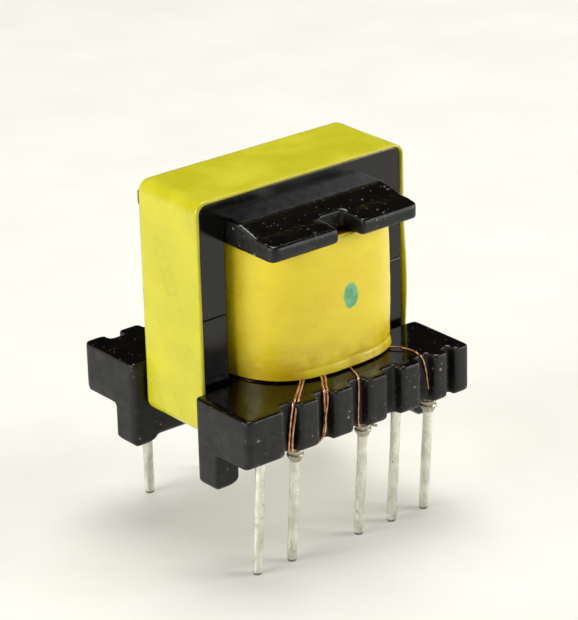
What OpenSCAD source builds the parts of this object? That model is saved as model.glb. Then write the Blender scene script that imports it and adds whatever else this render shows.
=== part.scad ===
// Small switch-mode power transformer on a vertical bobbin.
// Two ferrite E halves close round a wound bobbin whose two pin blocks
// carry the solder pins. Z points up and the pin tips stand on Z = 0.
// X runs along the pin rows, and the origin is the middle of the footprint.

/* [Core] */
// Width of the core across its outer legs
core_w = 16.1; // [15.4:0.1:17.5]
// Height of one E half, from its back to its mating faces
half_h = 7.7; // [6.8:0.1:9.5]
// Depth of the ferrite
core_d = 4.8; // [4.4:0.1:5.2]
// Thickness of each outer leg
leg_t = 2; // [1.6:0.1:2.4]
// Width of the centre leg
centre_w = 4; // [3.4:0.1:4.6]
// Thickness of the back of each half
yoke_t = 2; // [1.6:0.1:2.6]
// Radius of the outside corners
core_r = 1; // [0.4:0.1:1.6]
// Bevel ground along the edges of the outer faces
core_bevel = 0.3; // [0.1:0.05:0.5]

/* [Core tape] */
// Width of the tape that binds the halves together
band_w = 6; // [4.8:0.1:6.2]
// Thickness of the wrapped tape
band_t = 0.2; // [0.1:0.02:0.3]

/* [Bobbin] */
// Wall of the tube that the coil is wound on
tube_t = 0.65; // [0.4:0.05:0.9]
// Corner radius of the tube
tube_r = 0.4; // [0.2:0.05:0.8]
// Thickness of the two flanges
flange_t = 1; // [0.7:0.05:1.4]
// Reach of the top flange in front of the centre
flange_front = 7.5; // [7:0.1:8.2]
// Reach of the top flange behind the centre
flange_back = 6.8; // [6.7:0.1:8.2]
// Height of the stiffening rib over the flange, beside the core
rib_h = 0.7; // [0.3:0.05:1.2]
// Width of the notch in each edge of the top flange
notch_w = 2; // [1:0.1:3.5]
// Depth of that notch
notch_d = 2; // [0.5:0.1:2.6]

/* [Pin blocks] */
// Length of the pin blocks
block_x = 18.4; // [18:0.1:22]
// Depth of each pin block, front to back
block_y = 5.45; // [5:0.05:6.5]
// Height of the pin blocks
block_h = 3.35; // [2.8:0.05:4.5]
// Depth of the wire slots
slot_d = 0.8; // [0.5:0.05:1.1]
// Width of the wire slots
slot_w = 1.15; // [0.8:0.05:1.4]
// Width of the narrow end slot that marks the front row
key_w = 0.62; // [0.4:0.02:0.8]
// Thickness of the skirt under the inner edge of each block
skirt_t = 1.15; // [0.8:0.05:1.4]
// Height of the feet under the blocks
foot_h = 2.6; // [1.5:0.1:4]
// Length of the feet along the pin row
foot_x = 1.3; // [0.8:0.1:1.8]
// Depth of the feet across the pin row
foot_y = 2.1; // [1.6:0.1:2.6]

/* [Pins] */
// Spacing of the pins along a row
pin_pitch = 2.8; // [2.5:0.05:2.9]
// Distance between the two rows
row_gap = 14; // [13.6:0.1:14.2]
// Diameter of a pin
pin_d = 0.64; // [0.5:0.02:0.8]
// Length of the pins below the feet
pin_stand = 5.6; // [3:0.1:8]
// Length of a pin held in its block
pin_hold = 2.6; // [1.5:0.1:2.7]
// Extra diameter of the swollen root that grips the block
root_extra = 0.06; // [0.02:0.01:0.12]

/* [Coil] */
// Gap left between the taped coil and the outer legs
coil_side = 0.32; // [0.15:0.01:0.6]
// Share of the copper's build that the inner winding takes
inner_share = 0.56; // [0.3:0.02:0.7]
// Thickness of the tape between the windings
layer_tape_t = 0.15; // [0.06:0.03:0.2]
// Thickness of the tape over the coil
wrap_t = 0.3; // [0.12:0.03:0.35]
// Extra bulge of the coil outside the core window, in each layer
coil_bulge = 0.1; // [0:0.05:0.15]

/* [Leads] */
// Diameter of the heavy winding wire
heavy_d = 0.2; // [0.14:0.02:0.22]
// Diameter of the fine winding wire
fine_d = 0.17; // [0.12:0.01:0.2]
// Thickness of the solder over a wrapped pin
solder_t = 0.24; // [0.12:0.02:0.3]
// Length of a pin that the wrapped wire and solder cover
solder_h = 1; // [0.6:0.1:1.6]

/* [Hidden] */
$fn = 48;

// clearances between neighbours
core_gap = 0.15;   // ferrite to bobbin, sideways
seat_gap = 0.1;    // ferrite to flange, upwards
glue_gap = 0.02;   // tape and wound layers to what they lie on
band_gap = 0.2;    // core tape to pin block
pin_gap = 0.02;    // pin to its hole, all round
coil_gap = 0.05;   // coil to the flanges
tape_lift = 0.35;  // coil tape to the lower flange, where the leads come out
wire_gap = 0.04;   // lead to the plastic it passes

// small forms of the moulding and the core
skirt_up = 0.4;    // the skirts end this far above the feet
foot_flare = 0.55; // 45 degree flare of a foot towards its skirt
rib_flat = 1.45;   // level top of the rib
rib_fall = 1.6;    // sloping part beyond it
rib_low = 0.25;    // height left where the slope ends
edge_low = 0.1;    // height left at the outer edge
flange_r = 0.35;   // rounding of the flange edges
plan_r = 0.5;      // corner radius of the flanges seen from above
notch_x = 0.3;     // the notch lies a little off the middle
tooth_r = 0.28;    // rounding of the teeth between slots
block_r = 0.45;    // rounding of the block ends
bevel = 0.3;       // bevel under the blocks and feet
lip = 0.12;        // bevel along the upper edges
loose_round = 1.6; // corner radius that a build adds where the wire lies loose
tight_round = 0.75; // corner radius that it adds at the other corner

// small forms of the pins and wires
root_taper = 0.8;  // length over which a pin swells to its root, in the block
lead_ease = 0.03;  // extra room of a lead where it bends round an edge
lead_drop = 0.1;   // a lead reaches its wrap this far below the block
lead_in = 0.35;    // a lead is in line with its slot this far before the mouth
lead_bow = 0.35;   // share of the way to the slot where a strand bows out
lead_side = 0.1;   // share of the sideways way left close to an end
slot_in = 0.3;     // share of the block height from its top to a lead's wall
tail_l = 0.6;      // cut wire end standing out of a wrap
tail_tilt = 105;   // its angle from straight up
wire_sides = 8;    // sides of a swept wire
wire_steps = 3;    // steps between two points of its path

// levels, from the pin tips up
foot_z = pin_stand;
block_z0 = foot_z + foot_h;
block_z1 = block_z0 + block_h;
skirt_z = foot_z + skirt_up;
core_z0 = block_z1 - flange_t - seat_gap - yoke_t;
seam_z = core_z0 + half_h;
core_z1 = seam_z + half_h;
flange_z1 = core_z1 - yoke_t - seat_gap;
flange_z0 = flange_z1 - flange_t;
coil_z0 = block_z1 + coil_gap;
coil_z1 = flange_z0 - coil_gap;

// places across the part
window_x = core_w / 2 - leg_t;
flange_x = window_x - core_gap;
tube_x = centre_w / 2 + core_gap + tube_t;
tube_y = core_d / 2 + core_gap + tube_t;
block_y0 = band_w / 2 + band_gap;
block_y1 = block_y0 + block_y;
slot_y = block_y1 - slot_d;
row_y = row_gap / 2;
rib_y = core_d / 2 + core_gap;
pin_r = pin_d / 2;
root_r = pin_r + root_extra / 2;

// pin and slot places along the rows
FRONT_X = [for (i = [0 : 5]) (i - 2.5) * pin_pitch];
BACK_X = [for (i = [0 : 4]) (i - 2) * pin_pitch];
FRONT_SLOTS = BACK_X;
BACK_SLOTS = [for (i = [0 : 5]) (i - 2.5) * pin_pitch];
key_x = FRONT_X[5] + pin_r + key_w / 2;

// builds of the two windings, which fill the window between tube and leg
copper_build = window_x - coil_side - tube_x - layer_tape_t - wrap_t - 4 * glue_gap;
inner_build = inner_share * copper_build;
outer_build = copper_build - inner_build;

// coil layers: half width, half depth, and corner radii at the left and the
// right of the front, for each outside; the back is the front turned half
// round, and a build rounds one corner of each side more than the other
function wound(on, build, bulge) = [on[0] + glue_gap + build,
    on[1] + glue_gap + build + bulge,
    min(on[2] + loose_round * build, on[0] + build),
    min(on[3] + tight_round * build, on[0] + build)];
L0 = [tube_x, tube_y, tube_r, tube_r];
L1 = wound(L0, inner_build, coil_bulge);
L2 = wound(L1, layer_tape_t, 0);
L3 = wound(L2, outer_build, coil_bulge);
L4 = wound(L3, wrap_t, coil_bulge);

// depth of the outer winding's front at a place along X
function round_face(x, r) = x <= L3[0] - r ? L3[1]
    : L3[1] - r + sqrt(pow(r, 2) - pow(x - L3[0] + r, 2));
function coil_face(x) = x < 0 ? round_face(-x, L3[2]) : round_face(x, L3[3]);

// leads: name, turn of the row, place at the coil as a share of its half
// width, slot, place across the slot as a share of its width, pin, wire,
// 1 where it runs outside its partner, 1 where it meets the wrap below it
LEADS = [
    ["lead_front_2a", 0, -0.56, FRONT_SLOTS[0], 0.17, FRONT_X[1], heavy_d, 0, 1],
    ["lead_front_2b", 0, -0.48, FRONT_SLOTS[0], 0.37, FRONT_X[1], heavy_d, 1, 0],
    ["lead_front_2c", 0, -0.3, FRONT_SLOTS[1], 0.07, FRONT_X[1], heavy_d, 0, 0],
    ["lead_front_2d", 0, -0.22, FRONT_SLOTS[1], 0.3, FRONT_X[1], heavy_d, 1, 1],
    ["lead_front_4", 0, 0.17, FRONT_SLOTS[2], 0.26, FRONT_X[3], fine_d, 0, 0],
    ["lead_front_6", 0, 0.78, FRONT_SLOTS[4], 0.35, FRONT_X[5], fine_d, 0, 0],
    ["lead_back_1", 180, 0.59, BACK_SLOTS[4], 0.17, -BACK_X[0], fine_d, 0, 0],
    ["lead_back_4", 180, -0.17, BACK_SLOTS[2], -0.17, -BACK_X[3], fine_d, 0, 0],
    ["lead_back_5", 180, -0.59, BACK_SLOTS[1], -0.17, -BACK_X[4], fine_d, 0, 0]];

// soldered wraps: name, place of the pin, and direction of a cut wire end
WRAPS = [
    ["solder_front_2", FRONT_X[1], -row_y, undef],
    ["solder_front_4", FRONT_X[3], -row_y, -20],
    ["solder_front_6", FRONT_X[5], -row_y, undef],
    ["solder_back_1", BACK_X[0], row_y, undef],
    ["solder_back_4", BACK_X[3], row_y, undef],
    ["solder_back_5", BACK_X[4], row_y, undef]];

// ---- shared shapes ----

// rectangle of half sizes x and y with true round corners
module round_rect(x, y, r) {
    square([2 * x, 2 * (y - r)], center = true);
    square([2 * (x - r), 2 * y], center = true);
    for (i = [-1, 1], j = [-1, 1])
        translate([i * (x - r), j * (y - r)]) circle(r);
}

// a profile drawn in depth and height, pulled out along X about the middle
module along_x(length) {
    translate([-length / 2, 0, 0])
        rotate([90, 0, 90]) linear_extrude(length) children();
}

// a profile drawn in width and height, pulled out along Y about the middle
module along_y(length) {
    translate([0, length / 2, 0])
        rotate([90, 0, 0]) linear_extrude(length) children();
}

// ---- core ----

// outline of the core seen from the front, with round outside corners
module core_outline(grow) {
    translate([0, seam_z])
        round_rect(core_w / 2 + grow, half_h + grow, core_r + grow);
}

// one E half; up is 1 for the upper half and -1 for the lower
module core_half(up) {
    intersection() {
        along_y(core_d) difference() {
            core_outline(0);
            translate([0, seam_z - up * core_w])
                square(2 * core_w, center = true);
            for (side = [-1, 1])
                translate([side * (window_x + centre_w / 2) / 2, seam_z])
                    square([window_x - centre_w / 2, 2 * (half_h - yoke_t)], center = true);
        }
        along_x(2 * core_w) bevelled(core_d / 2, half_h, seam_z);
        linear_extrude(core_z1 + 1) rotate(90) bevelled(core_d / 2, core_w / 2, 0);
    }
}

// rectangle of half sizes x and y about height z, with its corners cut off
module bevelled(x, y, z) {
    b = core_bevel;
    polygon([[x - b, z - y], [x, z - y + b], [x, z + y - b], [x - b, z + y],
        [b - x, z + y], [-x, z + y - b], [-x, z - y + b], [b - x, z - y]]);
}

module core_upper() {
    color([0.2, 0.2, 0.21]) core_half(1);
}

module core_lower() {
    color([0.2, 0.2, 0.21]) core_half(-1);
}

module core_tape() {
    color([0.88, 0.82, 0.2]) along_y(band_w) difference() {
        core_outline(glue_gap + band_t);
        core_outline(glue_gap);
    }
}

// ---- bobbin ----

// half of the top flange's section out to the reach y: channel for the core,
// rib, slope and edge
module flange_section(y) {
    r = flange_r;
    top = flange_z1 + edge_low;
    difference() {
        union() {
            translate([0, flange_z0]) square([y - r, flange_t + edge_low]);
            translate([0, flange_z0 + r]) square([y, flange_t + edge_low - 2 * r]);
            for (z = [flange_z0 + r, top - r]) translate([y - r, z]) circle(r);
            polygon([[rib_y, flange_z0 + r], [rib_y, flange_z1 + rib_h],
                [rib_y + rib_flat, flange_z1 + rib_h],
                [rib_y + rib_flat + rib_fall, flange_z1 + rib_low],
                [y - r, top], [y - r, flange_z0 + r]]);
        }
        translate([-1, flange_z1]) square([rib_y + 1, rib_h + 1]);
    }
}

module top_flange() {
    intersection() {
        along_x(2 * flange_x + 1) {
            flange_section(flange_back);
            mirror([1, 0]) flange_section(flange_front);
        }
        translate([0, 0, flange_z0 - 1]) linear_extrude(flange_t + rib_h + 2) difference() {
            translate([0, (flange_back - flange_front) / 2])
                round_rect(flange_x, (flange_back + flange_front) / 2, plan_r);
            translate([notch_x - notch_w / 2, -flange_front - 1])
                square([notch_w, notch_d + 1]);
            translate([-notch_x - notch_w / 2, flange_back - notch_d])
                square([notch_w, notch_d + 1]);
        }
    }
}

// plan of one wire slot open to the front, with rounded mouth corners
module slot_plan(x, w) {
    translate([x, -block_y1]) {
        translate([-w / 2, -1]) square([w, slot_d + 1]);
        difference() {
            translate([-w / 2 - tooth_r, -1]) square([w + 2 * tooth_r, 1 + tooth_r]);
            for (i = [-1, 1]) translate([i * (w / 2 + tooth_r), tooth_r]) circle(tooth_r);
        }
    }
}

// plan of the front block without its slots
module block_ends() {
    translate([0, -(block_y0 + block_y1) / 2])
        round_rect(block_x / 2, block_y / 2, block_r);
}

// plan of the front block; the slot places and widths are given in pairs
module block_plan(slots) {
    difference() {
        block_ends();
        for (s = slots) slot_plan(s[0], s[1]);
    }
}

// section of the front block: body with bevelled edges, skirt at the inside
module block_section() {
    polygon([[-block_y0, skirt_z + bevel], [-block_y0 - bevel, skirt_z],
        [-block_y0 - skirt_t + bevel, skirt_z], [-block_y0 - skirt_t, skirt_z + bevel],
        [-block_y0 - skirt_t, block_z0],
        [bevel - block_y1, block_z0], [-block_y1, block_z0 + bevel],
        [-block_y1, block_z1 - lip], [lip - block_y1, block_z1],
        [-block_y0 - lip, block_z1], [-block_y0, block_z1 - lip]]);
}

// outline of a block seen from the front, down to the level of the feet
module block_front() {
    x = block_x / 2;
    polygon([[-x, foot_z + bevel], [bevel - x, foot_z],
        [x - bevel, foot_z], [x, foot_z + bevel],
        [x, block_z1 - lip], [x - lip, block_z1],
        [lip - x, block_z1], [-x, block_z1 - lip]]);
}

// the two feet under the inner edge of the front block, flared inwards
module feet() {
    x = block_x / 2;
    y = block_y0;
    inside = x - foot_x;
    foot_top = block_z0 + 1;
    for (side = [-1, 1]) intersection() {
        along_x(block_x) polygon([[-y, foot_z + bevel], [-y - bevel, foot_z],
            [bevel - y - foot_y, foot_z], [-y - foot_y, foot_z + bevel],
            [-y - foot_y, foot_top], [-y, foot_top]]);
        along_y(2 * block_y1) polygon([[side * (x - bevel), foot_z],
            [side * x, foot_z + bevel], [side * x, foot_top],
            [side * (inside - foot_flare), foot_top],
            [side * (inside - foot_flare), foot_z + foot_flare], [side * inside, foot_z]]);
        linear_extrude(foot_top) block_ends();
    }
}

// the front block; the back one is the same module turned half round
module pin_block(slots, pins) {
    difference() {
        union() {
            intersection() {
                linear_extrude(block_z1 + 1) block_plan(slots);
                along_x(block_x + 1) block_section();
                along_y(4 * block_y1) block_front();
            }
            feet();
        }
        for (x = pins) translate([x, -row_y, block_z0 - 1])
            cylinder(h = pin_hold + 1, r = root_r + pin_gap);
    }
}

module bobbin() {
    front = concat([for (x = FRONT_SLOTS) [x, slot_w]], [[key_x, key_w]]);
    back = [for (x = BACK_SLOTS) [-x, slot_w]];
    color([0.13, 0.13, 0.15]) difference() {
        union() {
            top_flange();
            translate([0, 0, block_z1 - flange_t])
                linear_extrude(flange_z0 + flange_t / 2 - block_z1 + flange_t)
                    round_rect(tube_x, tube_y, tube_r);
            translate([0, 0, block_z1 - flange_t])
                linear_extrude(flange_t) square([2 * flange_x, 2 * block_y0 + 1], center = true);
            pin_block(front, FRONT_X);
            rotate(180) pin_block(back, BACK_X);
        }
        translate([0, 0, seam_z])
            cube([centre_w + 2 * core_gap, core_d + 2 * core_gap, 2 * half_h], center = true);
    }
}

// ---- pins ----

// a pin with a bevelled tip and a swollen root held in the block
module pin(x, y) {
    tip = pin_r / 2;
    top_z = block_z0 + pin_hold - pin_gap;
    color([0.78, 0.77, 0.72]) translate([x, y, 0]) rotate_extrude()
        polygon([[0, 0], [pin_r - tip, 0], [pin_r, tip], [pin_r, block_z0],
            [root_r, block_z0 + root_taper], [root_r, top_z], [0, top_z]]);
}

// ---- coil ----

// plan of a layer's outside, grown by a gap, with its two kinds of corner
module coil_outline(on, grow) {
    x = on[0] + grow;
    y = on[1] + grow;
    a = on[2];
    b = on[3];
    for (turn = [0, 180]) rotate(turn) {
        translate([a - x, a - y]) circle(a);
        translate([x - b, b - y]) circle(b);
    }
    polygon([[-x, a - y], [a - x, -y], [x - b, -y], [x, b - y],
        [x, y - a], [x - a, y], [b - x, y], [-x, y - b]]);
}

// one closed layer of the coil between two outlines, from z0 up
module layer(outside, inside, z0) {
    translate([0, 0, z0]) linear_extrude(coil_z1 - z0) difference() {
        coil_outline(outside, 0);
        coil_outline(inside, glue_gap);
    }
}

module inner_winding() {
    color([0.62, 0.3, 0.12]) layer(L1, L0, coil_z0);
}

module layer_tape() {
    color([0.85, 0.74, 0.2]) layer(L2, L1, coil_z0);
}

module outer_winding() {
    color([0.7, 0.36, 0.16]) layer(L3, L2, coil_z0);
}

module coil_tape() {
    color([0.86, 0.76, 0.2]) layer(L4, L3, block_z1 + tape_lift);
}

// ---- leads ----

// smooth path through the points p, cut into equal steps between each pair
function clamp_at(p, i) = p[max(0, min(len(p) - 1, i))];
function between(a, b, c, d, t) = 0.5 * (2 * b + (c - a) * t
    + (2 * a - 5 * b + 4 * c - d) * t * t + (3 * b - a - 3 * c + d) * t * t * t);
function smooth(p) = concat([for (i = [0 : len(p) - 2], j = [0 : wire_steps - 1])
    between(clamp_at(p, i - 1), p[i], p[i + 1], clamp_at(p, i + 2), j / wire_steps)],
    [p[len(p) - 1]]);

// directions along a path, and sideways vectors that turn with it
function unit(v) = v / norm(v);
function headings(p) = [for (i = [0 : len(p) - 1])
    unit(clamp_at(p, i + 1) - clamp_at(p, i - 1))];
function square_to(n, t) = unit(n - (n * t) * t);
function sideways(t, i, n) = i == len(t) ? []
    : let (m = square_to(n, t[i])) concat([m], sideways(t, i + 1, m));

// round wire of diameter d along the path through the points
module wire(points, d) {
    sides = wire_sides;
    p = smooth(points);
    t = headings(p);
    n = sideways(t, 0, cross(t[0], [0.3, 0.2, 1]));
    rings = len(p);
    corners = [for (i = [0 : rings - 1], k = [0 : sides - 1])
        let (a = 360 * k / sides, m = cross(t[i], n[i]))
        p[i] + d / 2 * (cos(a) * n[i] + sin(a) * m)];
    walls = [for (i = [0 : rings - 2], k = [0 : sides - 1])
        let (a = i * sides, b = a + sides, q = (k + 1) % sides)
        each [[a + k, b + k, b + q], [a + k, b + q, a + q]]];
    caps = [[for (k = [0 : sides - 1]) k],
        [for (k = [sides - 1 : -1 : 0]) (rings - 1) * sides + k]];
    polyhedron(corners, concat(walls, caps));
}

// a lead of the front row: out from under the coil tape, over the block to the
// place x in its slot, down the slot, and under the block to the wrap on the pin
module lead(coil_share, x, pin_x, d, outside, below) {
    c = d / 2 + wire_gap;
    top = block_z1 + c + lead_ease;
    under = block_z0 - c - lead_drop - below * (d + wire_gap);
    out = outside * (d - 2 * wire_gap);
    x0 = coil_share * L3[0];
    y0 = -coil_face(x0) - c;
    y = -slot_y - c;
    aim = unit([x - pin_x, row_y - slot_y]);
    reach = pin_r + solder_t + pin_gap + wire_gap;
    pin_end = [pin_x + reach * aim[0], reach * aim[1] - row_y];
    color([0.75, 0.42, 0.2]) wire([
        [x0, y0, top],
        [x0 + lead_bow * (x - x0), y0 + lead_bow * (y - y0) - out, top],
        [x - lead_side * (x - x0), y + c + lead_in - out, top],
        [x, y + c / 2 - out, top],
        [x, y - lead_ease, block_z1],
        [x, y, block_z1 - slot_in * block_h],
        [x, y, block_z0 + slot_in * block_h],
        [x, y - lead_ease, block_z0],
        [x + lead_side * (pin_x - x), y + c / 2, under + 3 * lead_ease],
        concat(0.5 * ([x, y] + pin_end), [under + lead_ease]),
        concat(pin_end, [under])], d);
}

// ---- wrapped and soldered pins ----

// solder over three turns of wire round a pin, running out to a fillet below;
// tail is the direction of a cut wire end, or undef where none sticks out
module solder(x, y, tail) {
    r0 = pin_r + pin_gap;
    r1 = pin_r + solder_t;
    ridge = solder_h / 6;
    z1 = block_z0 - wire_gap;
    color([0.74, 0.72, 0.68]) translate([x, y, z1]) {
        rotate_extrude() {
            polygon([[r0, -solder_h - solder_t], [r0 + pin_gap, -solder_h - solder_t],
                [r1 - ridge / 2, -solder_h], [r1 - ridge / 2, -ridge / 2], [r0, 0]]);
            intersection() {
                for (i = [0 : 2])
                    translate([r1 - ridge, -(2 * i + 1) * ridge]) circle(ridge);
                translate([r0, -solder_h]) square(solder_h);
            }
        }
        if (!is_undef(tail)) translate([0, 0, -3 * ridge]) rotate([0, tail_tilt, tail])
            translate([0, 0, r1 - ridge]) cylinder(h = tail_l, d = fine_d);
    }
}

core_upper();
core_lower();
core_tape();
bobbin();
for (i = [0, 1, 3, 4, 5])
    pin(FRONT_X[i], -row_y);
for (i = [0, 2, 3, 4])
    pin(BACK_X[i], row_y);
inner_winding();
layer_tape();
outer_winding();
coil_tape();
for (l = LEADS)
    rotate(l[1])
        lead(l[2], l[3] + l[4] * slot_w, l[5], l[6], l[7], l[8]);
for (j = WRAPS)
    solder(j[1], j[2], j[3]);
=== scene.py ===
"""Looks of a small taped PCB transformer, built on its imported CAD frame.

Shapes and places are written in millimetres and turned to metres by mm().
X runs along the pin rows, -Y faces the six-place row and Z points up.
"""

import math

import bmesh
import bpy
from mathutils import Matrix, Vector, noise


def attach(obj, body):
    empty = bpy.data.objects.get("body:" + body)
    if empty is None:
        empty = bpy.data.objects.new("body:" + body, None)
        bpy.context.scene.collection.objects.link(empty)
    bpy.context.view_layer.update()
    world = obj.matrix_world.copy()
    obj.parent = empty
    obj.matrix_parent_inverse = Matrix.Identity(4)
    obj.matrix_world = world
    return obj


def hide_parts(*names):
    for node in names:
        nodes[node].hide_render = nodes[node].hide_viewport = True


MM = 0.001
BODY = "root"

# camera: a long lens at the left front, a little above the part; and the lamps' aim
VIEW_AZIMUTH = -38.51
VIEW_ELEVATION = 22.85
VIEW_ROLL = -1.48
VIEW_DISTANCE = 195.64
VIEW_ASIDE = 0.82
VIEW_UP = 3.52
VIEW_LEVEL = 10.0
LENS = 174.2
SENSOR = 36
LAMP_AIM = (0, 0, 12)

# ferrite core: two E halves that meet at the seam
CORE_LEFT = -8.07
CORE_RIGHT = 8.32
CORE_LOW = 8.45
CORE_HIGH = 23.85
SEAM = 16.15
SEAM_HALF_GAP = 0.01
CORE_HALF_DEPTH = 2.88
CORE_CORNER = 0.6
CORE_EDGE = 0.1
WINDOW_X = 6.05
YOKE = 2.0
CENTRE_X = 2.0
CENTRE_HALF_DEPTH = 2.4

# tape round the core, loose along its right side
BAND_HALF_DEPTH = 3.0
BAND_THICK = 0.22
BAND_LOOSE = 0.3

# tape round the coil: half of its plan outline, which a half turn completes
COIL_PLAN = [(-5.73, 0.0), (-5.70, -1.2), (-5.52, -2.3), (-5.15, -3.5), (-4.6, -4.6),
             (-3.75, -5.5), (-2.6, -6.1), (-1.2, -6.38), (0.4, -6.45), (2.0, -6.42),
             (3.5, -6.2), (4.6, -5.75), (5.4, -5.1), (5.8, -4.1), (5.88, -3.0),
             (5.8, -1.5)]
COIL_LOW = 11.7
COIL_HIGH = 20.71
COIL_WALL = 0.34
LIP = 0.52
LIP_REACH = 0.13

# ink dot on the coil tape
DOT_X = 1.02
DOT_Z = 16.55
DOT_HALF_WIDTH = 0.62
DOT_HALF_HEIGHT = 0.86

# rounding of the moulded bobbin
MOULD_GRID = 0.1
MOULD_ROUNDS = 16
MOULD_KEEP = 0.3

# pins: places along X in each row
FRONT_PINS = {"pin_front_1": -7.0, "pin_front_2": -4.2, "pin_front_4": 1.4,
              "pin_front_5": 4.2, "pin_front_6": 7.0}
BACK_PINS = {"pin_back_1": -5.6, "pin_back_3": 0.0, "pin_back_4": 2.8,
             "pin_back_5": 5.6}
PIN_ROW_Y = 7.0
PIN_RADIUS = 0.32
PIN_ROOT = 8.3
PIN_BEND = 8.2
FRONT_LEAN = -0.5

# leads of the front row: thickness, and a listed route
HEAVY = 0.15
FINE = 0.11
LEAD_TOP = 11.7
LEADS = {
    "2a": (HEAVY, [(-2.75, -5.9, LEAD_TOP), (-2.94, -6.15, LEAD_TOP),
                   (-4.04, -7.2, LEAD_TOP + 0.03), (-4.75, -7.85, LEAD_TOP),
                   (-5.12, -8.05, 11.4), (-5.28, -8.02, 10.6), (-5.42, -8.0, 9.4),
                   (-5.45, -7.95, 8.55), (-5.3, -7.8, 8.11), (-5.0, -7.5, 8.06),
                   (-4.65, -7.3, 8.0)]),
    "2b": (HEAVY, [(-2.5, -5.9, LEAD_TOP), (-2.72, -6.2, LEAD_TOP),
                   (-3.86, -7.28, LEAD_TOP + 0.03), (-4.56, -7.98, LEAD_TOP),
                   (-4.94, -8.2, 11.35), (-5.12, -8.2, 10.5), (-5.3, -8.16, 9.4),
                   (-5.3, -8.1, 8.6), (-5.15, -7.95, 8.1), (-4.9, -7.6, 7.98),
                   (-4.6, -7.4, 7.9)]),
    "2c": (HEAVY, [(-1.35, -6.1, LEAD_TOP), (-1.61, -6.7, LEAD_TOP), (-2.3, -7.5, LEAD_TOP),
                   (-2.5, -7.95, 11.55), (-2.62, -8.05, 10.8), (-2.5, -8.0, 9.9),
                   (-2.6, -7.98, 9.0), (-2.7, -7.9, 8.4), (-2.95, -7.75, 8.1),
                   (-3.3, -7.5, 8.06), (-3.7, -7.2, 8.0)]),
    "2d": (HEAVY, [(-1.1, -6.15, LEAD_TOP), (-1.38, -6.75, LEAD_TOP),
                   (-2.08, -7.58, LEAD_TOP), (-2.3, -8.02, 11.5), (-2.4, -8.15, 10.7),
                   (-2.62, -8.12, 9.8), (-2.55, -8.1, 9.0), (-2.65, -8.0, 8.5),
                   (-2.95, -7.88, 8.08), (-3.3, -7.65, 7.96), (-3.72, -7.35, 7.9)]),
    "4": (FINE, [(0.95, -6.1, 11.66), (0.8, -6.6, 11.66), (0.55, -7.3, 11.66),
                 (0.36, -7.85, 11.62), (0.3, -7.98, 11.2), (0.26, -8.0, 10.2),
                 (0.22, -7.98, 9.2), (0.2, -8.0, 8.4), (0.45, -7.85, 8.02),
                 (0.95, -7.4, 7.9)]),
    "6": (FINE, [(4.3, -5.3, 11.68), (4.66, -5.75, 11.7), (5.05, -6.12, 11.72),
                 (5.37, -6.61, 11.7), (5.49, -7.16, 11.68), (5.5, -7.7, 11.66),
                 (5.7, -8.0, 11.3), (5.95, -8.0, 10.4), (6.1, -7.98, 9.4),
                 (6.3, -8.0, 8.5), (6.45, -7.8, 8.0), (6.6, -7.4, 7.85)]),
}

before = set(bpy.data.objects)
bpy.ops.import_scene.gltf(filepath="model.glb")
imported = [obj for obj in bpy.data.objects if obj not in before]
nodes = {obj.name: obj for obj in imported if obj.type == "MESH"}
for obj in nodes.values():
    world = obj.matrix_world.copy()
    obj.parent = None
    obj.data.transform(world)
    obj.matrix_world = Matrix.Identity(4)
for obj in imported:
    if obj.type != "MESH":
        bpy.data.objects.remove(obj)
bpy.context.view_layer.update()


def mm(*values):
    """A point given in millimetres."""
    return Vector(values) * MM


def srgb(red, green, blue):
    """A screen colour from 0 to 255 as the linear colour that a shader takes."""
    def linear(value):
        c = value / 255
        return c / 12.92 if c <= 0.04045 else ((c + 0.055) / 1.055) ** 2.4
    return (linear(red), linear(green), linear(blue), 1.0)


def smooth_step(low, high, value):
    """0 below low, 1 above high, and smooth between."""
    t = min(1.0, max(0.0, (value - low) / (high - low)))
    return t * t * (3 - 2 * t)


# ---- camera, lights and floor ----

def make_camera():
    """The camera stands along back from the part and is rolled a little."""
    azimuth = math.radians(VIEW_AZIMUTH)
    elevation = math.radians(VIEW_ELEVATION)
    roll = math.radians(VIEW_ROLL)
    back = Vector((math.sin(azimuth) * math.cos(elevation),
                   -math.cos(azimuth) * math.cos(elevation), math.sin(elevation)))
    level_right = (-back).cross(Vector((0, 0, 1))).normalized()
    level_up = level_right.cross(-back)
    right = math.cos(roll) * level_right + math.sin(roll) * level_up
    up = -math.sin(roll) * level_right + math.cos(roll) * level_up
    place = (back * VIEW_DISTANCE + right * VIEW_ASIDE + up * VIEW_UP
             + Vector((0, 0, VIEW_LEVEL))) * MM
    data = bpy.data.cameras.new("camera")
    data.lens = LENS
    data.sensor_width = SENSOR
    data.clip_start = 0.01
    data.clip_end = 20
    camera = bpy.data.objects.new("camera", data)
    bpy.context.scene.collection.objects.link(camera)
    camera.matrix_world = Matrix.Translation(place) @ Matrix(
        (right, up, back)).transposed().to_4x4()
    bpy.context.scene.camera = camera


def make_lamp(name, place, size, power):
    """A plain white area lamp at a place, turned to the middle of the part."""
    data = bpy.data.lights.new(name, "AREA")
    data.shape = "RECTANGLE"
    data.size = size[0] * MM
    data.size_y = size[1] * MM
    data.energy = power
    lamp = bpy.data.objects.new(name, data)
    bpy.context.scene.collection.objects.link(lamp)
    lamp.location = mm(*place)
    towards = mm(*LAMP_AIM) - mm(*place)
    lamp.rotation_euler = towards.to_track_quat("-Z", "Y").to_euler()


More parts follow.
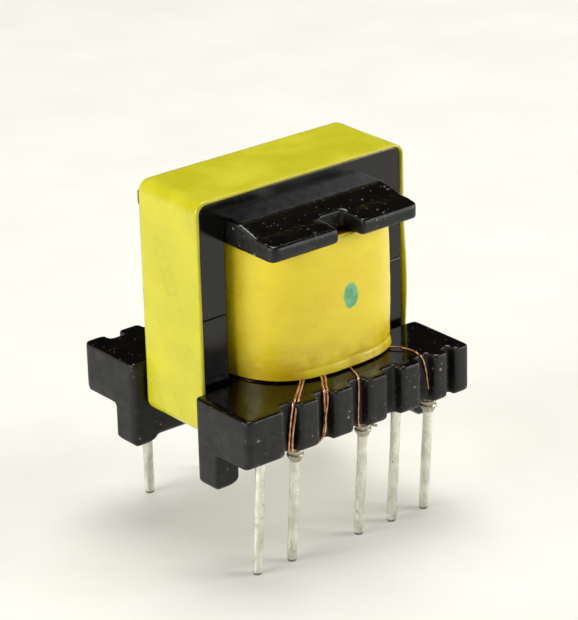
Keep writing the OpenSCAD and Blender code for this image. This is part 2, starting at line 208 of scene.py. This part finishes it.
def make_lights():
    make_lamp("lamp_left", (-260, 40, 90), (160, 130), 0.62)
    make_lamp("lamp_right", (245, -190, 125), (150, 150), 0.78)
    make_lamp("lamp_front", (-150, -330, 60), (130, 90), 0.04)
    make_lamp("lamp_top", (60, 60, 330), (200, 200), 0.95)
    world = bpy.data.worlds.new("world")
    world.use_nodes = True
    backdrop = world.node_tree.nodes["Background"]
    backdrop.inputs["Color"].default_value = (0.30, 0.30, 0.29, 1)
    backdrop.inputs["Strength"].default_value = 0.06
    bpy.context.scene.world = world
    bpy.context.scene.view_settings.view_transform = "Standard"


def make_floor():
    """A pale round floor that curves up into a low rim."""
    flat = 380.0
    rim = 620.0
    height = 90.0
    around = 96
    steps = 18
    profile = [(0.0, 0.0), (60.0, 0.0), (160.0, 0.0), (flat, 0.0)]
    for i in range(1, steps + 1):
        t = i / steps
        profile.append((flat + (rim - flat) * math.sin(t * math.pi / 2),
                        height * (1 - math.cos(t * math.pi / 2))))
    grid = bmesh.new()
    centre = grid.verts.new((0, 0, 0))
    rings = []
    for radius, z in profile[1:]:
        rings.append([grid.verts.new(mm(radius * math.cos(2 * math.pi * k / around),
                                        radius * math.sin(2 * math.pi * k / around), z))
                      for k in range(around)])
    for k in range(around):
        grid.faces.new((centre, rings[0][k], rings[0][(k + 1) % around]))
        for low, high in zip(rings, rings[1:]):
            after = (k + 1) % around
            grid.faces.new((low[k], high[k], high[after], low[after]))
    floor = make_object("floor", grid)
    floor.data.materials.append(floor_look())


# ---- meshes ----

def make_object(name, grid):
    """The smoothly shaded object of a finished bmesh."""
    bmesh.ops.recalc_face_normals(grid, faces=grid.faces)
    mesh = bpy.data.meshes.new(name)
    grid.to_mesh(mesh)
    grid.free()
    for face in mesh.polygons:
        face.use_smooth = True
    made = bpy.data.objects.new(name, mesh)
    bpy.context.scene.collection.objects.link(made)
    return made


def finish_piece(piece, look, stands_for):
    """Gives a piece its material, and lets it ride and stand for CAD nodes."""
    piece.data.materials.clear()
    piece.data.materials.append(look)
    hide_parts(*stands_for)
    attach(piece, BODY)


def skin(rings, closed_profile=False, caps=False):
    """A bmesh through closed rings of points, one after another."""
    grid = bmesh.new()
    made = [[grid.verts.new(mm(*p)) for p in ring] for ring in rings]
    count = len(rings[0])
    pairs = list(zip(made, made[1:]))
    if closed_profile:
        pairs.append((made[-1], made[0]))
    for low, high in pairs:
        for k in range(count):
            grid.faces.new((low[k], low[(k + 1) % count],
                            high[(k + 1) % count], high[k]))
    if caps:
        grid.faces.new(made[0])
        grid.faces.new(made[-1])
    return grid


def loop_through(points, steps):
    """A smooth closed loop through plan points, as evenly spaced places."""
    count = len(points)
    parts = 12
    fine = []
    for i in range(count):
        a, b, c, d = (Vector(points[(i + k) % count]) for k in (-1, 0, 1, 2))
        for j in range(parts):
            t = j / parts
            fine.append(0.5 * (2 * b + (c - a) * t + (2 * a - 5 * b + 4 * c - d) * t * t
                               + (3 * b - a - 3 * c + d) * t ** 3))
    lengths = [0.0]
    for p, q in zip(fine, fine[1:] + fine[:1]):
        lengths.append(lengths[-1] + (q - p).length)
    even = []
    k = 0
    for i in range(steps):
        target = lengths[-1] * i / steps
        while lengths[k + 1] < target:
            k += 1
        share = (target - lengths[k]) / (lengths[k + 1] - lengths[k])
        even.append(fine[k].lerp(fine[(k + 1) % len(fine)], share))
    return even


# ---- material building ----

class Look:
    """A material made of nodes, with coordinates in millimetres."""

    def __init__(self, name, **sockets):
        self.material = bpy.data.materials.new(name)
        self.material.use_nodes = True
        self.tree = self.material.node_tree
        self.shader = self.tree.nodes["Principled BSDF"]
        for key, value in sockets.items():
            self.shader.inputs[key.replace("_", " ")].default_value = value
        coordinates = self.add("TexCoord").outputs["Object"]
        self.place = self.add("VectorMath", {"operation": "SCALE"},
                              Vector=coordinates, Scale=1 / MM).outputs["Vector"]
        split = self.add("SeparateXYZ", Vector=self.place)
        self.x, self.y, self.z = split.outputs
        self.geometry = self.add("NewGeometry")
        facing = self.add("SeparateXYZ", Vector=self.geometry.outputs["Normal"])
        self.facing_z = facing.outputs["Z"]

    def add(self, kind, settings=None, **inputs):
        """A new shader node with its settings and inputs filled in."""
        node = self.tree.nodes.new("ShaderNode" + kind)
        for key, value in (settings or {}).items():
            setattr(node, key, value)
        for key, value in inputs.items():
            self.put(node.inputs[key], value)
        return node

    def put(self, socket, value):
        """Links a socket to another socket, or sets it to a plain value."""
        if isinstance(value, bpy.types.NodeSocket):
            self.tree.links.new(value, socket)
        else:
            socket.default_value = value

    def set(self, key, value):
        self.put(self.shader.inputs[key], value)

    def math(self, operation, first, second=0.0):
        node = self.add("Math", {"operation": operation})
        self.put(node.inputs[0], first)
        self.put(node.inputs[1], second)
        return node.outputs[0]

    def times(self, *values):
        made = values[0]
        for value in values[1:]:
            made = self.math("MULTIPLY", made, value)
        return made

    def ramp(self, value, low, high, start=0.0, end=1.0):
        """start where the value is below low, end above high, smooth between."""
        return self.add("MapRange", {"interpolation_type": "SMOOTHSTEP"},
                        **{"Value": value, "From Min": low, "From Max": high,
                           "To Min": start, "To Max": end}).outputs["Result"]

    def moved(self, stretch, shift):
        """Places of the part, stretched and shifted, for a texture."""
        return self.add("Mapping", None, Vector=self.place, Scale=stretch,
                        Location=shift).outputs["Vector"]

    def noise(self, size, detail=2.0, roughness=0.5, stretch=(1, 1, 1), shift=(0, 0, 0)):
        """Cloudy values around 0.5, of a size in millimetres."""
        return self.add("TexNoise", None, Vector=self.moved(stretch, shift),
                        Scale=1 / size, Detail=detail,
                        Roughness=roughness).outputs[0]

    def specks(self, size, cell, share, shift=(0, 0, 0)):
        """Small dots of a size, in a share of the cells."""
        texture = self.add("TexVoronoi", None, Vector=self.moved((1, 1, 1), shift),
                           Scale=1 / cell)
        chosen = self.add("SeparateColor", None, Color=texture.outputs["Color"])
        return self.times(
            self.ramp(texture.outputs["Distance"], 0.5 * size / cell, size / cell, 1.0, 0.0),
            self.math("LESS_THAN", chosen.outputs[0], share))

    def mix(self, share, first, second):
        """A colour between first and second."""
        node = self.add("Mix", {"data_type": "RGBA"})
        self.put(node.inputs["Factor"], share)
        self.put(node.inputs[6], first)
        self.put(node.inputs[7], second)
        return node.outputs[2]

    def blend(self, share, first, second):
        """A number between first and second."""
        node = self.add("Mix", {"data_type": "FLOAT"})
        self.put(node.inputs[0], share)
        self.put(node.inputs[2], first)
        self.put(node.inputs[3], second)
        return node.outputs[0]

    def bump(self, height, depth, before=None):
        """Relief of a depth in millimetres where height goes from 0 to 1."""
        node = self.add("Bump", None, Height=height, Distance=depth * MM, Strength=1.0)
        if before is not None:
            self.put(node.inputs["Normal"], before)
        return node.outputs["Normal"]

    def rounded(self, radius):
        """Normals that round every edge within a radius."""
        return self.add("Bevel", {"samples": 6}, Radius=radius * MM).outputs["Normal"]

    def edges(self, radius):
        """Near 1 along edges within a radius, 0 on faces."""
        bevel = self.add("Bevel", {"samples": 6}, Radius=radius * MM)
        dot = self.add("VectorMath", {"operation": "DOT_PRODUCT"})
        self.put(dot.inputs[0], bevel.outputs["Normal"])
        self.put(dot.inputs[1], self.geometry.outputs["True Normal"])
        return self.ramp(dot.outputs["Value"], 0.99, 0.86)


def floor_look():
    look = Look("floor_paper", Roughness=0.9)
    look.set("Specular IOR Level", 0.1)
    grain = look.noise(9.0, 3.0)
    look.set("Base Color", look.mix(look.ramp(grain, 0.3, 0.7),
                                    srgb(240, 237, 227), srgb(245, 243, 234)))
    surface = look.shader.outputs["BSDF"]
    rays = look.add("LightPath")
    seen = look.math("MAXIMUM", rays.outputs["Is Camera Ray"],
                     look.math("MAXIMUM", rays.outputs["Is Glossy Ray"],
                               rays.outputs["Is Transmission Ray"]))
    glow = look.add("Emission", None, Color=srgb(240, 240, 230), Strength=1.0)
    mixed = look.add("MixShader")
    look.put(mixed.inputs[0], look.times(seen, 0.33))
    look.put(mixed.inputs[1], surface)
    look.put(mixed.inputs[2], glow.outputs[0])
    output = look.tree.nodes["Material Output"]
    look.put(output.inputs["Surface"], mixed.outputs[0])
    return look.material


def ferrite_look():
    look = Look("ferrite", Roughness=0.3)
    look.set("Specular IOR Level", 0.43)
    grain = look.noise(0.12, 4.0, 0.65)
    cloud = look.noise(2.2, 3.0)
    tone = look.mix(look.ramp(cloud, 0.35, 0.7), srgb(5, 5, 5), srgb(11, 11, 10))
    pits = look.specks(0.05, 0.3, 0.3)
    tone = look.mix(look.times(pits, 0.7), tone, srgb(12, 11, 10))
    pale = look.specks(0.045, 0.55, 0.18, (4, 2, 1))
    tone = look.mix(look.times(pale, 0.6), tone, srgb(150, 148, 138))
    worn = look.times(look.edges(0.12), look.ramp(look.noise(0.5), 0.35, 0.6))
    tone = look.mix(look.times(worn, 0.5), tone, srgb(120, 118, 110))
    look.set("Base Color", tone)
    look.set("Roughness", look.ramp(cloud, 0.3, 0.7, 0.12, 0.2))
    look.set("Normal", look.bump(look.math("SUBTRACT", grain, pits), 0.003, look.rounded(0.1)))
    return look.material


def core_tape_look():
    look = Look("core_tape_film", Roughness=0.3)
    look.set("Coat Weight", 0.12)
    look.set("Coat Roughness", 0.12)
    cloud = look.noise(3.2, 3.0)
    fine = look.noise(0.35, 3.0, 0.6)
    tone = look.mix(look.ramp(cloud, 0.3, 0.7), srgb(196, 190, 30), srgb(208, 202, 38))
    tone = look.mix(look.times(look.ramp(fine, 0.5, 0.8), 0.35), tone, srgb(190, 180, 26))
    # painted shade: the last 0.14 mm towards the tape's front and back edges is tinted darker and
    # more orange
    rim = look.ramp(look.math("ABSOLUTE", look.y), BAND_HALF_DEPTH - 0.14, BAND_HALF_DEPTH)
    tone = look.mix(look.times(rim, 0.35), tone, srgb(190, 170, 30))
    dust = look.specks(0.06, 0.8, 0.12)
    tone = look.mix(look.times(dust, 0.5), tone, srgb(150, 130, 40))
    look.set("Base Color", tone)
    look.set("Roughness", look.ramp(cloud, 0.3, 0.7, 0.26, 0.4))
    waves = look.noise(2.6, 2.0, 0.5, (1, 1, 0.5))
    look.set("Normal", look.bump(fine, 0.004, look.bump(waves, 0.05)))
    return look.material


def coil_tape_look():
    look = Look("coil_tape_film", Roughness=0.3)
    look.set("Coat Weight", 0.15)
    look.set("Coat Roughness", 0.1)
    cloud = look.noise(2.6, 3.0, 0.55, (0.6, 0.6, 1.3))
    fine = look.noise(0.3, 3.0, 0.6, (0.4, 0.4, 2.0))
    tone = look.mix(look.ramp(cloud, 0.3, 0.72), srgb(230, 205, 30), srgb(238, 216, 38))
    amber = look.times(look.ramp(look.z, 14.8, 12.2), look.ramp(look.noise(1.6, 3.0), 0.4, 0.62))
    tone = look.mix(look.times(amber, 0.45), tone, srgb(204, 150, 16))
    streak = look.ramp(fine, 0.55, 0.8)
    tone = look.mix(look.times(streak, 0.25), tone, srgb(216, 184, 26))
    # the ink dot on the front, an oval with a wavering edge
    wobble = look.math("MULTIPLY", look.math("SUBTRACT", look.noise(0.5), 0.5), 0.5)
    across = look.math("DIVIDE", look.math("SUBTRACT", look.x, DOT_X), DOT_HALF_WIDTH)
    along = look.math("DIVIDE", look.math("SUBTRACT", look.z, DOT_Z), DOT_HALF_HEIGHT)
    reach = look.math("SQRT", look.math("ADD", look.times(across, across),
                                        look.times(along, along)))
    dot = look.times(look.ramp(look.math("ADD", reach, wobble), 0.86, 1.06, 1.0, 0.0),
                     look.math("LESS_THAN", look.y, -4.0))
    ink = look.mix(look.ramp(look.noise(0.45), 0.35, 0.65),
                   srgb(70, 160, 118), srgb(112, 186, 140))
    tone = look.mix(look.times(dot, 0.95), tone, ink)
    look.set("Base Color", tone)
    look.set("Roughness", look.ramp(cloud, 0.3, 0.7, 0.24, 0.4))
    look.set("Normal", look.bump(fine, 0.006))
    return look.material


def bobbin_look():
    look = Look("bobbin_plastic", Roughness=0.4)
    look.set("Specular IOR Level", 0.36)
    cloud = look.noise(1.8, 3.0)
    grain = look.noise(0.16, 4.0, 0.7)
    upward = look.ramp(look.facing_z, 0.55, 0.85)
    tone = look.mix(look.ramp(cloud, 0.3, 0.7), srgb(6, 6, 8), srgb(11, 11, 14))
    haze = look.times(look.ramp(look.noise(0.8, 4.0, 0.65, (1, 1, 1), (3, 1, 7)), 0.42, 0.75),
                      look.math("SUBTRACT", 1.0, upward))
    tone = look.mix(look.times(haze, 0.16), tone, srgb(84, 80, 74))
    # a thin brown varnish lies on the upward faces
    tone = look.mix(look.times(upward, 0.85), tone,
                    look.mix(look.ramp(cloud, 0.35, 0.7), srgb(4, 3, 2), srgb(14, 9, 4)))
    dusty = look.ramp(look.noise(1.1, 3.0, 0.6, (1, 1, 1), (6, 2, 5)), 0.4, 0.62)
    white = look.times(look.specks(0.13, 0.6, 0.32), dusty)
    small = look.specks(0.065, 0.32, 0.36, (5, 3, 2))
    side = look.math("SUBTRACT", 1.0, look.times(upward, 0.8))
    tone = look.mix(look.times(white, side, 0.75), tone, srgb(150, 142, 124))
    tone = look.mix(look.times(small, side, 0.7), tone, srgb(118, 108, 92))
    patchy = look.ramp(look.noise(0.28, 4.0, 0.7, (1, 1, 1), (9, 4, 2)), 0.46, 0.62)
    worn = look.times(look.edges(0.16), patchy)
    tone = look.mix(look.times(worn, 0.6), tone, srgb(142, 124, 100))
    look.set("Base Color", tone)
    rough = look.blend(upward, look.ramp(cloud, 0.3, 0.7, 0.36, 0.52), 0.14)
    look.set("Roughness", look.blend(worn, rough, 0.5))
    relief = look.math("ADD", look.times(grain, 0.5, side), look.math("ADD", white, small))
    look.set("Normal", look.bump(relief, 0.014, look.bump(look.noise(0.9, 2.0), 0.03)))
    return look.material


def pin_look():
    look = Look("tinned_pin", Metallic=0.85, Roughness=0.36)
    cloud = look.noise(0.55, 4.0, 0.65, (1, 1, 0.5))
    tone = look.mix(look.ramp(cloud, 0.3, 0.7), srgb(204, 202, 188), srgb(240, 240, 230))
    stain = look.ramp(look.noise(0.3, 4.0, 0.7, (1, 1, 0.6), (2, 5, 1)), 0.56, 0.74)
    tone = look.mix(look.times(stain, 0.4), tone, srgb(126, 120, 96))
    dark = look.specks(0.07, 0.34, 0.22)
    tone = look.mix(look.times(dark, 0.6), tone, srgb(70, 64, 50))
    cut = look.ramp(look.z, 0.12, 0.2, 1.0, 0.0)
    tone = look.mix(look.times(cut, 0.7), tone, srgb(60, 54, 44))
    look.set("Base Color", tone)
    look.set("Roughness", look.ramp(cloud, 0.3, 0.7, 0.3, 0.5))
    look.set("Normal", look.bump(look.noise(0.22, 4.0, 0.6), 0.03))
    return look.material


def copper_look(name, light, deep):
    """Enamelled copper, clouded between a light and a deep tone."""
    look = Look(name, Metallic=0.75, Roughness=0.28)
    cloud = look.noise(0.5, 3.0)
    tone = look.mix(look.ramp(cloud, 0.35, 0.65), deep, light)
    look.set("Base Color", tone)
    look.set("Coat Weight", 0.6)
    look.set("Coat Roughness", 0.1)
    look.set("Normal", look.bump(look.noise(0.12, 2.0), 0.01))
    return look.material


def solder_look():
    look = Look("dull_solder", Metallic=0.8, Roughness=0.4)
    cloud = look.noise(0.3, 4.0, 0.65)
    tone = look.mix(look.ramp(cloud, 0.3, 0.7), srgb(150, 140, 118), srgb(206, 202, 188))
    look.set("Base Color", tone)
    look.set("Normal", look.bump(look.noise(0.2, 3.0), 0.04))
    return look.material


# ---- CAD nodes that stay in the scene ----

def mould(node):
    """Rounds the edges of a CAD node all over, by modifiers, as a moulding has them."""
    piece = nodes[node]
    remesh = piece.modifiers.new("remesh", "REMESH")
    remesh.mode = "VOXEL"
    remesh.voxel_size = MOULD_GRID * MM
    remesh.use_smooth_shade = True
    smooth = piece.modifiers.new("smooth", "SMOOTH")
    smooth.factor = 0.5
    smooth.iterations = MOULD_ROUNDS
    thin = piece.modifiers.new("thin", "DECIMATE")
    thin.ratio = MOULD_KEEP


def dress(node, look):
    """Gives a CAD node its material."""
    piece = nodes[node]
    piece.data.materials.clear()
    piece.data.materials.append(look)


# ---- core and core tape ----

def corner_arc(x, z, radius, start, steps=6):
    """Points of a quarter round about a centre, from an angle in degrees on."""
    return [(x + radius * math.cos(math.radians(start + 90 * i / steps)),
             z + radius * math.sin(math.radians(start + 90 * i / steps)))
            for i in range(steps + 1)]


def prism(grid, outline, half_depth):
    """Adds a closed outline in X and Z, pulled out along Y, to a bmesh."""
    front = [grid.verts.new(mm(x, -half_depth, z)) for x, z in outline]
    back = [grid.verts.new(mm(x, half_depth, z)) for x, z in outline]
    grid.faces.new(front)
    grid.faces.new(list(reversed(back)))
    count = len(outline)
    for k in range(count):
        after = (k + 1) % count
        grid.faces.new((front[k], back[k], back[after], front[after]))


def make_core_half(name, node, up, look):
    """One E half, drawn in its upper place and mirrored for the lower one."""
    r = CORE_CORNER
    tall = (CORE_HIGH - CORE_LOW) / 2
    bow = [(CORE_RIGHT, SEAM_HALF_GAP)]
    bow += corner_arc(CORE_RIGHT - r, tall - r, r, 0)
    bow += corner_arc(CORE_LEFT + r, tall - r, r, 90)
    bow += [(CORE_LEFT, SEAM_HALF_GAP), (-WINDOW_X, SEAM_HALF_GAP),
            (-WINDOW_X, tall - YOKE), (WINDOW_X, tall - YOKE), (WINDOW_X, SEAM_HALF_GAP)]
    leg_top = tall - YOKE - 0.01
    leg = [(-CENTRE_X, SEAM_HALF_GAP), (CENTRE_X, SEAM_HALF_GAP),
           (CENTRE_X, leg_top), (-CENTRE_X, leg_top)]
    grid = bmesh.new()
    prism(grid, [(x, SEAM + up * z) for x, z in bow], CORE_HALF_DEPTH)
    prism(grid, [(x, SEAM + up * z) for x, z in leg], CENTRE_HALF_DEPTH)
    piece = make_object(name, grid)
    bevel = piece.modifiers.new("bevel", "BEVEL")
    bevel.limit_method = "ANGLE"
    bevel.angle_limit = math.radians(32)
    bevel.width = CORE_EDGE * MM
    bevel.segments = 3
    bevel.harden_normals = True
    finish_piece(piece, look, [node])


def band_outline(off):
    """The core tape's outline, off outside the core, loose along its right side."""
    r = CORE_CORNER + off
    left = CORE_LEFT - off
    right = CORE_RIGHT + off
    low = CORE_LOW - off
    high = CORE_HIGH + off
    points = []
    steps = 40
    for i in range(steps + 1):
        z = low + r + (high - low - 2 * r) * i / steps
        t = i / steps
        loose = BAND_LOOSE * math.sin(math.pi * min(1, t * 1.25)) ** 2 * (1 - t) ** 0.5
        points.append((right + loose, z))
    points += corner_arc(right - r, high - r, r, 0)[1:]
    for i in range(1, steps):
        t = i / steps
        points.append((right - r - (right - left - 2 * r) * t, high))
    points += corner_arc(left + r, high - r, r, 90)
    for i in range(1, steps):
        points.append((left, high - r - (high - low - 2 * r) * i / steps))
    points += corner_arc(left + r, low + r, r, 180)
    for i in range(1, steps):
        points.append((left + r + (right - left - 2 * r) * i / steps, low))
    points += corner_arc(right - r, low + r, r, 270)[:-1]
    return points


def make_band(look):
    """The wrapped core tape, with faint ripples and soft edges."""
    rings = []
    edge = [(BAND_HALF_DEPTH - 0.03, 0.2), (BAND_HALF_DEPTH, 0.1), (BAND_HALF_DEPTH - 0.03, 0.02)]
    across = 28
    depths = [(-y, off) for y, off in reversed(edge)]
    depths += [(-2.8 + 5.6 * i / across, BAND_THICK) for i in range(across + 1)]
    depths += edge
    for y, off in depths:
        ring = []
        for x, z in band_outline(off):
            wave = 0.0
            if off > 0.15:
                wave = 0.012 * noise.noise(Vector((x * 0.5, y * 0.45, z * 0.4)))
                wave += 0.006 * noise.noise(Vector((x * 1.4, y * 0.9, z * 1.2 + 4)))
            ring.append((x * (1 + wave / 8), y, z + wave * (1 if z > SEAM else -1)))
        rings.append(ring)
    piece = make_object("core_band", skin(rings, closed_profile=True))
    finish_piece(piece, look, ["core_tape"])


# ---- coil tape ----

def coil_offset(x, y, z):
    """How far the tape stands off its plan outline at a place."""
    tall = (z - COIL_LOW) / (COIL_HIGH - COIL_LOW)
    barrel = 0.1 * math.sin(math.pi * min(1, max(0, tall))) - 0.05
    lip = 0.0
    from_low = z - COIL_LOW
    if y < 0:
        right = smooth_step(-4.6, 0.6, x)
        crease = LIP + 0.12 * noise.noise(Vector((x * 0.35, 0, 3)))
        if from_low < crease:
            lip = right * LIP_REACH * (1 - from_low / crease) ** 0.8
        else:
            lip = -right * 0.05 * math.exp(-(from_low - crease) / 0.12)
    waves = 0.035 * noise.noise(Vector((x * 0.5, y * 0.5, z * 0.9 + 5)))
    waves += 0.016 * noise.noise(Vector((x * 1.6, y * 1.6, z * 3.0)))
    seam = 0.0
    if y < -5:
        along = smooth_step(15.5, 12.0, z)
        seam = 0.03 * along * smooth_step(-0.75, -0.6, x) * smooth_step(0.35, -0.5, x)
    return barrel + lip + waves + seam


def make_coil_tape():
    """The tape round the coil, with a barrel form, ripples, a seam and a curled lip."""
    around = 220
    tall = 84
    plan = COIL_PLAN + [(-x, -y) for x, y in COIL_PLAN]
    loop = loop_through(plan, around)
    outward = []
    for k in range(around):
        run = loop[(k + 1) % around] - loop[k - 1]
        outward.append(Vector((-run.y, run.x)).normalized())
        if outward[-1].dot(loop[k]) < 0:
            outward[-1].negate()
    levels = [COIL_LOW + (COIL_HIGH - COIL_LOW) * (i / tall) ** 1.25 for i in range(tall + 1)]
    rings = []
    inside = [p - COIL_WALL * n for p, n in zip(loop, outward)]
    rings.append([(p.x, p.y, COIL_LOW + 0.04) for p in inside])
    for z in levels:
        ring = []
        for p, n in zip(loop, outward):
            q = p + n * coil_offset(p.x, p.y, z)
            ring.append((q.x, q.y, z))
        rings.append(ring)
    rings.append([(p.x, p.y, COIL_HIGH - 0.02) for p in inside])
    piece = make_object("coil_wrap", skin(rings, closed_profile=True))
    finish_piece(piece, coil_tape_look(), ["coil_tape"])


# ---- wires ----

def make_wire(name, points, diameter, look, stands_for):
    """A round wire along a smooth curve that the points pull on."""
    data = bpy.data.curves.new(name, "CURVE")
    data.dimensions = "3D"
    data.bevel_depth = diameter / 2 * MM
    data.bevel_resolution = 4
    data.resolution_u = 8
    data.use_fill_caps = True
    spline = data.splines.new("NURBS")
    spline.points.add(len(points) - 1)
    for made, p in zip(spline.points, points):
        made.co = (*mm(*p), 1)
    spline.order_u = 3
    spline.use_endpoint_u = True
    wire = bpy.data.objects.new(name, data)
    bpy.context.scene.collection.objects.link(wire)
    finish_piece(wire, look, stands_for)


def make_leads(look):
    for place, (diameter, route) in LEADS.items():
        make_wire("wire_front_" + place, route, diameter, look, ["lead_front_" + place])


# ---- pins ----

def make_pin(name, x, y, lean, seed, look):
    """A drawn and tinned wire pin, leaning a little from the block down."""
    around = 20
    tall = 60
    rings = []
    for i in range(tall + 1):
        z = PIN_ROOT * i / tall
        below = max(0.0, (PIN_BEND - z) / PIN_BEND)
        cx = x + lean * below ** 1.25
        ring = []
        for k in range(around):
            a = 2 * math.pi * k / around
            bumps = noise.noise(Vector((math.cos(a) * 0.6 + seed, math.sin(a) * 0.6, z * 0.9)))
            r = PIN_RADIUS * (1 + 0.05 * bumps)
            r *= 1 + 0.03 * math.cos(2 * (a + 0.4))
            if i == 0:
                r *= 0.8
            if i == 1:
                r *= 0.97
            ring.append((cx + r * math.cos(a), y + r * math.sin(a), z))
        rings.append(ring)
    piece = make_object(name + "_wire", skin(rings, caps=True))
    finish_piece(piece, look, [name])


def make_pins(look):
    for seed, (name, x) in enumerate(FRONT_PINS.items()):
        make_pin(name, x, -PIN_ROW_Y, FRONT_LEAN, seed * 3.1, look)
    for seed, (name, x) in enumerate(BACK_PINS.items()):
        make_pin(name, x, PIN_ROW_Y, 0.0, 20 + seed * 3.1, look)


# ---- the scene ----

make_camera()
make_lights()
make_floor()

ferrite = ferrite_look()
tape = core_tape_look()
plastic = bobbin_look()
tinned = pin_look()
solder = solder_look()
copper = copper_look("lead_copper", srgb(238, 190, 140), srgb(190, 124, 74))
winding = copper_look("winding_copper", srgb(190, 110, 60), srgb(120, 60, 26))
winding_tape = coil_tape_look()

make_core_half("ferrite_upper", "core_upper", 1, ferrite)
make_core_half("ferrite_lower", "core_lower", -1, ferrite)
make_band(tape)
mould("bobbin")
dress("bobbin", plastic)
for name in ("inner_winding", "outer_winding"):
    dress(name, winding)
dress("layer_tape", winding_tape)
for name in nodes:
    if name.startswith("solder_"):
        dress(name, solder)
    if name.startswith("lead_"):
        dress(name, copper)
make_coil_tape()
make_leads(copper)
make_pins(tinned)
